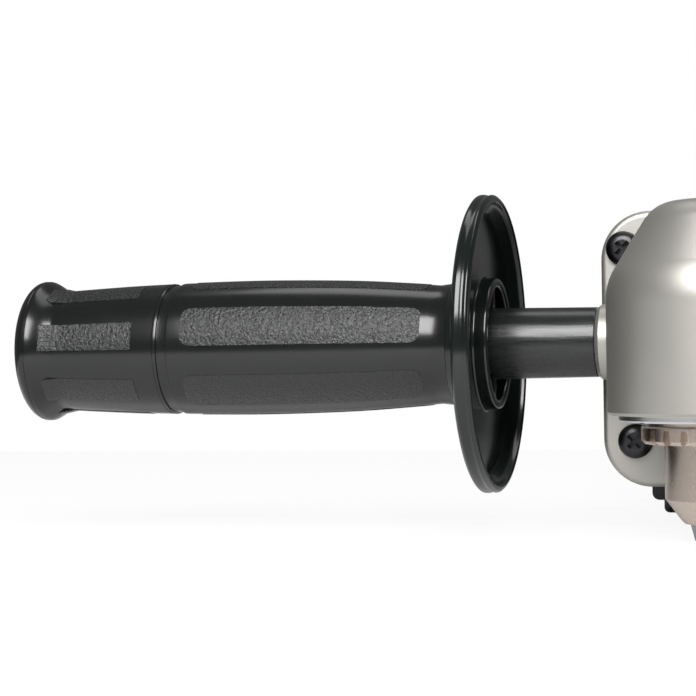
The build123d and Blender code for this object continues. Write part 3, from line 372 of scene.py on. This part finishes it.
def turned_piece(name, outline, steps):
    """Solid turned about the side handle's axis from an outline of (distance, radius)."""
    deselect()
    points = [Vector((BOSS_X - along, HANDLE_Y, HANDLE_Z + radius)) for along, radius in outline]
    bpy.ops.mesh.primitive_plane_add(size=MM, location=points[0])
    piece = begin(name)
    bpy.ops.mesh.merge(type="CENTER")
    for near, far in zip(points, points[1:]):
        bpy.ops.mesh.extrude_region_move(TRANSFORM_OT_translate={"value": far - near})
    select_whole()
    bpy.ops.mesh.spin(steps=steps, angle=2 * pi, center=HANDLE_AXIS, axis=(1, 0, 0))
    select_whole()
    bpy.ops.mesh.remove_doubles(threshold=0.004 * MM)
    face_outwards()
    return piece


def curve_through(points, steps=8):
    """Smooth run of (distance, radius) points through the given ones."""
    run = [points[0]]
    padded = [points[0]] + list(points) + [points[-1]]
    for a, b, c, d in zip(padded, padded[1:], padded[2:], padded[3:]):
        for i in range(1, steps + 1):
            t = i / steps
            run.append(tuple(
                0.5 * (2 * q + (r - p) * t + (2 * p - 5 * q + 4 * r - s) * t * t
                       + (3 * q - p - 3 * r + s) * t ** 3)
                for p, q, r, s in zip(a, b, c, d)))
    return run


def rounded(points, radius, steps=5):
    """Outline in millimetres with every inner corner rounded, returned in metres."""
    result = [points[0]]
    for before, corner, after in zip(points, points[1:], points[2:]):
        here = Vector(corner)
        back = Vector(before) - here
        ahead = Vector(after) - here
        reach = min(radius, back.length * 0.45, ahead.length * 0.45)
        start = here + back.normalized() * reach
        end = here + ahead.normalized() * reach
        for i in range(steps + 1):
            t = i / steps
            result.append(tuple((1 - t) ** 2 * start + 2 * t * (1 - t) * here + t * t * end))
    result.append(points[-1])
    return [(x * MM, y * MM) for x, y in result]


# ---------------------------------------------------------------- side handle outlines, in mm

# Distances run along the handle from the head's boss, radii from the handle's axis.
POLE_TIP = 9.25
POLE_BASE = 9.6
HUB_FACE = 26.9
WEB_FACE = 30.9
CAVITY_FLOOR = 34.0
CAVITY_RADIUS = 15.1
GUARD_BACK = 33.6
RIM_BACK = 31.9
NECK = 151.5
BULB = 157.4
BULB_RADIUS = 19.7
GRIP_END = HANDLE_LENGTH / MM
BARREL_SWELL = ((42.5, 16.0), (52.0, 16.8), (68.0, 17.8), (92.0, 18.4), (114.0, 18.25))
DOUBLE_LIP = (
    (115.6, 18.2), (115.9, 17.7), (116.2, 17.65), (118.6, 17.7), (118.7, 18.15), (119.2, 18.2),
    (119.3, 17.95), (119.6, 17.95),
)
REAR_TAPER = ((119.8, 18.15), (130.0, 17.85), (142.0, 17.3), (150.0, 16.85))

# The hub's four ribs: their wall, how far they start behind the hub's face, and how far they sink
# into the cavity's floor and into the pole and the hub ring.
RIB_WALL = 1.1
RIB_INSET = 1.2
RIB_SINK = 0.6
RIB_BITE = 0.4

# Each ring of grained panels: start, end, first panel's turn in degrees, and corner radius.
FRONT_RING = (44.8, 111.7, 19.6, 3.0)
REAR_RING = (126.1, 151.0, 12.0, 0.6)

# A panel is laid out flat above the grip, cut into slices and rows, then wrapped and given its wall.
PANEL_WALL = 0.5
PANEL_SLICE = 2.0
PANEL_ROWS = 8
PANEL_LIFT = 4.0


def grip_radius(along):
    """Radius of the grip at a distance in mm, between the outline's own points."""
    run = BARREL_SWELL + REAR_TAPER
    for (a, low), (b, high) in zip(run, run[1:]):
        if a <= along <= b:
            return low + (high - low) * (along - a) / (b - a)
    return run[-1][1]


def make_pole(finishes):
    """Round pole between the head's boss and the guard, rubbed bright along its length."""
    outline = rounded([(0, 0), (0, POLE_TIP), (CAVITY_FLOOR, POLE_BASE), (CAVITY_FLOOR, 0)], 0.5)
    pole = turned_piece("handle_pole", outline, 96)
    finish_piece(pole, finishes["scuffed"], "housing", ["grip_moulding"])


def make_guard(finishes, hub_radius):
    """Dished round guard with its rim turned towards the head, and the hub ring."""
    hub = hub_radius / MM
    edge = GUARD_RADIUS / MM
    outline = rounded([
        (CAVITY_FLOOR + 1, 0), (CAVITY_FLOOR + 1, CAVITY_RADIUS - 0.4), (CAVITY_FLOOR, CAVITY_RADIUS),
        (HUB_FACE, CAVITY_RADIUS), (HUB_FACE, hub), (WEB_FACE, hub), (WEB_FACE, edge - 5.0),
        (HUB_FACE + 1.6, edge - 2.4), (HUB_FACE, edge - 2.0), (HUB_FACE, edge - 0.9),
        (HUB_FACE + 0.9, edge), (HUB_FACE + 1.7, edge - 0.35), (HUB_FACE + 2.1, edge - 0.35),
        (HUB_FACE + 2.9, edge), (RIM_BACK - 1.0, edge), (RIM_BACK, edge - 1.4),
        (GUARD_BACK + 0.1, 24.0), (GUARD_BACK + 2.4, 18.2), (GUARD_BACK + 5.0, 16.8),
        (GUARD_BACK + 5.0, 0),
    ], 0.8)
    guard = turned_piece("hand_guard", outline, 192)
    finish_piece(guard, finishes["guard"], "housing", ["grip_moulding"], 40)


def make_hub_ribs(finishes):
    """Four thin ribs that tie the pole to the hub ring across the hollow."""
    middle = (POLE_BASE + CAVITY_RADIUS) / 2 * MM
    along = (HUB_FACE + RIB_INSET + CAVITY_FLOOR + RIB_SINK) / 2 * MM
    size = (
        (CAVITY_FLOOR - HUB_FACE + RIB_SINK - RIB_INSET) * MM, RIB_WALL * MM,
        (CAVITY_RADIUS - POLE_BASE + 2 * RIB_BITE) * MM)
    for count, angle in enumerate((0, 90, 180, 270), 1):
        deselect()
        place = HANDLE_AXIS + Matrix.Rotation(radians(angle), 3, "X") @ Vector((-along, 0, middle))
        bpy.ops.mesh.primitive_cube_add(
            size=1.0, location=place, rotation=(radians(angle), 0, 0), scale=size)
        rib = begin(f"hub_rib_{count}")
        bpy.ops.mesh.bevel(offset=0.25 * MM, segments=3)
        finish_piece(rib, finishes["guard"], "housing")


def make_grip(finishes):
    """Swelling grip with a double lip and groove, a tapered rear part and a rounded bulb."""
    front = [(GUARD_BACK + 4.0, 0), (GUARD_BACK + 4.0, 16.9), (GUARD_BACK + 6.0, 16.35)]
    front += curve_through(BARREL_SWELL)
    rear = curve_through(REAR_TAPER)
    bulb = curve_through((
        (NECK, 16.85), (NECK + 1.4, 17.6), (NECK + 3.4, 18.9), (BULB - 1.2, 19.6),
        (BULB - 0.5, BULB_RADIUS),
    ))
    bulb += [(BULB - 0.3, BULB_RADIUS - 0.15), (BULB, BULB_RADIUS - 0.15)]
    end = curve_through((
        (BULB + 0.2, BULB_RADIUS), (BULB + 1.2, 19.4), (BULB + 2.3, 18.5), (BULB + 3.2, 17.1),
        (BULB + 3.7, 15.0), (GRIP_END - 0.1, 11.0), (GRIP_END, 0),
    ), 6)
    outline = [(x * MM, y * MM) for x, y in [*front, *DOUBLE_LIP, *rear, *bulb, *end]]
    grip = turned_piece("side_grip", outline, 160)
    finish_piece(grip, finishes["grip_nylon"], "housing", ["grip_moulding"], 35)


def make_panel(name, target, start, end, turn, width_angle, proud, corner, finishes):
    """One grained panel: a rounded plate wrapped onto the grip and given a thin wall."""
    deselect()
    length = (end - start) * MM
    radius = grip_radius((start + end) / 2) * MM
    width = 2 * radius * sin(width_angle / 2)
    place = HANDLE_AXIS + Vector((-(start + end) / 2 * MM, -radius - PANEL_LIFT * MM, 0))
    bpy.ops.mesh.primitive_plane_add(size=1.0, location=place, rotation=(pi / 2, 0, 0))
    panel = begin(name)
    bpy.ops.transform.resize(value=(length, 1, width))
    bpy.ops.mesh.bevel(offset=corner * MM, segments=6, affect="VERTICES")
    bpy.ops.object.mode_set(mode="OBJECT")
    bpy.ops.object.transform_apply(location=True, rotation=True, scale=True)
    bpy.ops.object.mode_set(mode="EDIT")
    slices = int((end - start) / PANEL_SLICE)
    for i in range(1, slices):
        cut((BOSS_X - (start + (end - start) * i / slices) * MM, 0, 0), (1, 0, 0))
    for i in range(1, PANEL_ROWS):
        cut((0, 0, HANDLE_Z - width / 2 + width * i / PANEL_ROWS), (0, 0, 1))
    select_whole()
    bpy.ops.transform.rotate(value=turn, orient_axis="X", center_override=HANDLE_AXIS)
    bpy.ops.object.mode_set(mode="OBJECT")
    wrap = panel.modifiers.new("wrap", "SHRINKWRAP")
    wrap.target = target
    wrap.wrap_method = "NEAREST_SURFACEPOINT"
    wrap.offset = proud
    wall = panel.modifiers.new("wall", "SOLIDIFY")
    wall.thickness = PANEL_WALL * MM
    wall.offset = -1
    bpy.ops.object.modifier_apply(modifier="wrap")
    bpy.ops.object.modifier_apply(modifier="wall")
    bpy.ops.object.mode_set(mode="EDIT")
    face_outwards()
    finish_piece(panel, finishes["grain"], "housing", smooth=40)


def make_panel_ring(name, ring, count, width_angle, proud, finishes):
    """Grained panels spaced evenly round one section of the grip."""
    start, end, first_turn, corner = ring
    grip = bpy.data.objects["side_grip"]
    for i in range(count):
        turn = radians(first_turn) + i * 2 * pi / count
        make_panel(f"{name}_{i + 1}", grip, start, end, turn, width_angle, proud, corner, finishes)


# ---------------------------------------------------------------- stage, in metres

FLOOR_GAP = 0.2 * MM
FLOOR_SIZE = 0.9
FLOOR_GLOW = 0.92
ROOM_LIGHT = 0.16
TOP_SHARE = 0.1


def make_floor():
    """Pale sheet that the drill stands on, nearly as bright as the background."""
    deselect()
    low = CAD_BOX[0][2] - FLOOR_GAP
    bpy.ops.mesh.primitive_plane_add(size=FLOOR_SIZE, location=(-0.05, 0.02, low))
    floor = bpy.context.object
    floor.name = "stage_floor"
    paper = linear("#e4e4e4")
    material, tree, shader, place = start_material("white paper", paper, 0.0, 0.9)
    fibres = noise(tree, place, 25 * MM, 3.0)
    vary_colour(tree, shader, fibres, 0.99, 1.0, paper)
    glow = add_node(tree, "ShaderNodeEmission", Color=(1, 1, 1, 1), Strength=1.0)
    path = add_node(tree, "ShaderNodeLightPath")
    share = add_node(
        tree, "ShaderNodeMath", {0: path.outputs["Is Camera Ray"], 1: FLOOR_GLOW},
        operation="MULTIPLY")
    mix = add_node(tree, "ShaderNodeMixShader", {
        0: share.outputs["Value"], 1: shader.outputs["BSDF"], 2: glow.outputs["Emission"]})
    tree.links.new(mix.outputs["Shader"], tree.nodes["Material Output"].inputs["Surface"])
    floor.data.materials.append(material)


def make_light(name, place, target, width, height, power):
    """Rectangular softbox turned towards a point."""
    deselect()
    bpy.ops.object.light_add(type="AREA", location=place)
    lamp = bpy.context.object
    lamp.name = name
    lamp.data.shape = "RECTANGLE"
    lamp.data.size = width
    lamp.data.size_y = height
    lamp.data.energy = power
    lamp.rotation_euler = (target - place).to_track_quat("-Z", "Y").to_euler()


def make_lights(power):
    """Dim room with a white background, a key softbox in front and above, and a weak one on top."""
    middle = Vector((-0.08, HANDLE_Y, HANDLE_Z))
    make_light("key_softbox", middle + Vector((0.05, -0.72, 0.56)), middle, 0.8, 0.55, power)
    make_light(
        "top_softbox", middle + Vector((0.1, 0.25, 0.9)), middle, 1.0, 0.3, power * TOP_SHARE)
    world = bpy.data.worlds.new("studio")
    world.use_nodes = True
    tree = world.node_tree
    room = tree.nodes["Background"]
    room.inputs["Color"].default_value = (1, 1, 1, 1)
    room.inputs["Strength"].default_value = ROOM_LIGHT
    paper = add_node(tree, "ShaderNodeBackground", Color=(1, 1, 1, 1), Strength=1.0)
    path = add_node(tree, "ShaderNodeLightPath")
    mix = add_node(tree, "ShaderNodeMixShader", {
        0: path.outputs["Is Camera Ray"], 1: room.outputs["Background"],
        2: paper.outputs["Background"]})
    tree.links.new(mix.outputs["Shader"], tree.nodes["World Output"].inputs["Surface"])
    bpy.context.scene.world = world
    bpy.context.scene.view_settings.view_transform = "Standard"


def make_camera():
    """Camera in front of the head, turned towards the side handle."""
    deselect()
    bpy.ops.object.camera_add(location=(50.5 * MM, -535.5 * MM, HANDLE_Z - 1.5 * MM))
    camera = bpy.context.object
    camera.name = "camera"
    camera.data.lens = 108.0
    camera.data.sensor_width = 36.0
    camera.data.clip_start = 0.01
    turn = Matrix.Rotation(radians(15.6), 4, "Z")
    tilt = Matrix.Rotation(radians(90.1), 4, "X")
    roll = Matrix.Rotation(radians(-0.9), 4, "Z")
    camera.matrix_world = Matrix.Translation(camera.location) @ turn @ tilt @ roll
    bpy.context.scene.camera = camera


# ---------------------------------------------------------------- operators

class DRILL_OT_stage(bpy.types.Operator):
    """Set the pale floor, the soft lights and the camera"""
    bl_idname = "drill.stage"
    bl_label = "Stage"

    def execute(self, context):
        make_floor()
        make_lights(context.scene.drill_sizes.key_light)
        make_camera()
        return {"FINISHED"}


class DRILL_OT_finishes(bpy.types.Operator):
    """Give every node of the frame the finish of its material slot"""
    bl_idname = "drill.finishes"
    bl_label = "Finishes"

    def execute(self, context):
        FINISHES.update(all_finishes(context.scene.drill_colours))
        for part in frame["record"]["subparts"]:
            node = frame["nodes"][part["node"]]
            material = FINISHES[part["material_slot"]]
            if not node.material_slots:
                node.data.materials.append(material)
            for holder in node.material_slots:
                holder.material = material
        return {"FINISHED"}


class DRILL_OT_side_handle(bpy.types.Operator):
    """Model the side handle: pole, guard, hub ribs and grip"""
    bl_idname = "drill.side_handle"
    bl_label = "Side handle"

    def execute(self, context):
        make_pole(FINISHES)
        make_guard(FINISHES, context.scene.drill_sizes.hub_radius)
        make_hub_ribs(FINISHES)
        make_grip(FINISHES)
        return {"FINISHED"}


class DRILL_OT_grip_panels(bpy.types.Operator):
    """Model the grained panels round both sections of the grip"""
    bl_idname = "drill.grip_panels"
    bl_label = "Grip panels"

    def execute(self, context):
        sizes = context.scene.drill_sizes
        make_panel_ring("front_panel", FRONT_RING, sizes.front_count, sizes.front_angle,
                        sizes.patch_proud, FINISHES)
        make_panel_ring("rear_panel", REAR_RING, sizes.rear_count, sizes.rear_angle,
                        sizes.patch_proud, FINISHES)
        return {"FINISHED"}


STEPS = (
    DRILL_OT_stage,
    DRILL_OT_finishes,
    DRILL_OT_side_handle,
    DRILL_OT_grip_panels,
)


class DRILL_PT_panel(bpy.types.Panel):
    """Lists the steps, sizes and colours of the drill in the sidebar"""
    bl_idname = "DRILL_PT_panel"
    bl_label = "Right-angle drill"
    bl_space_type = "VIEW_3D"
    bl_region_type = "UI"
    bl_category = "Drill"

    def draw(self, context):
        layout = self.layout
        for step in STEPS:
            layout.operator(step.bl_idname)
        for name in DrillSizes.__annotations__:
            layout.prop(context.scene.drill_sizes, name)
        for name in DrillColours.__annotations__:
            layout.prop(context.scene.drill_colours, name)


CLASSES = (DrillSizes, DrillColours) + STEPS + (DRILL_PT_panel,)


def register():
    for item in CLASSES:
        bpy.utils.register_class(item)
    bpy.types.Scene.drill_sizes = PointerProperty(type=DrillSizes)
    bpy.types.Scene.drill_colours = PointerProperty(type=DrillColours)


def unregister():
    del bpy.types.Scene.drill_colours
    del bpy.types.Scene.drill_sizes
    for item in reversed(CLASSES):
        bpy.utils.unregister_class(item)


def main():
    """Registers the add-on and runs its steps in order."""
    register()
    bpy.ops.drill.stage()
    bpy.ops.drill.finishes()
    bpy.ops.drill.side_handle()
    bpy.ops.drill.grip_panels()


if __name__ == "__main__":
    main()
